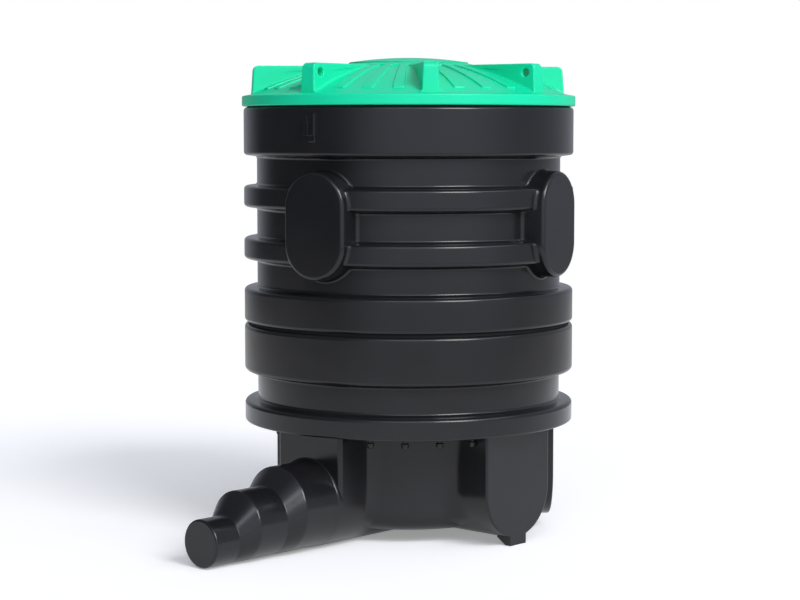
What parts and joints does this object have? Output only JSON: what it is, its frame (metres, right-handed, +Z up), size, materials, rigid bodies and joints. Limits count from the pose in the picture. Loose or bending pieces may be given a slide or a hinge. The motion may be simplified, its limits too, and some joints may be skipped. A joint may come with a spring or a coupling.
{
  "type": "drainage distribution chamber",
  "caption": "Round moulded drainage chamber with a ribbed shaft, channel arms and a stepped outlet under its flange, and a domed lift-off lid with fins.",
  "frame": {"origin": "on the axis of the shaft, at the level that the feet stand on", "axes": "+Z up along the shaft, -Y along the outlet, +X to the right seen from the outlet"},
  "size_m": [0.8252, 1.1072, 1.147],
  "materials": {
    "base": "black moulded plastic, satin with a fine grain",
    "neck": "black moulded plastic, satin with a fine grain",
    "seal": "matte black rubber",
    "lid": "green moulded plastic, satin with a fine grain"
  },
  "bodies": {
    "chamber": {"base_flange": "base", "base_wall": "base", "base_collar": "base", "base_seat": "base", "base_shelf": "base", "channel_drum": "base", "outlet_arm": "base", "inlet_arm_1": "base", "inlet_arm_2": "base", "inlet_arm_3": "base", "inlet_arm_4": "base", "inlet_arm_5": "base", "outlet_pipe_200": "base", "outlet_pipe_160": "base", "outlet_pipe_110": "base", "neck_lip": "neck", "neck_sole": "neck", "neck_foot": "neck", "neck_wall_lower": "neck", "neck_rib_lower": "neck", "neck_wall_middle": "neck", "neck_rib_upper": "neck", "neck_wall_upper": "neck", "neck_collar": "neck", "neck_seat": "neck", "side_pad_1": "neck", "side_pad_2": "neck", "side_pad_3": "neck", "collar_lug": "neck", "joint_seal": "seal", "lid_seal": "seal"},
    "lid": {"lid_plug": "lid", "lid_rim": "lid", "lid_dome": "lid", "lid_cap": "lid", "lid_fin_1": "lid", "lid_fin_2": "lid", "lid_fin_3": "lid", "lid_fin_4": "lid", "lid_fin_5": "lid", "lid_fin_6": "lid", "lid_fin_7": "lid", "lid_fin_8": "lid", "lid_strips": "lid"}
  },
  "joints": [
    {"name": "lid_lift", "type": "slide", "parent": "chamber", "child": "lid", "axis": [0, 0, 1], "range_m": [0, 0.3]}
  ]
}
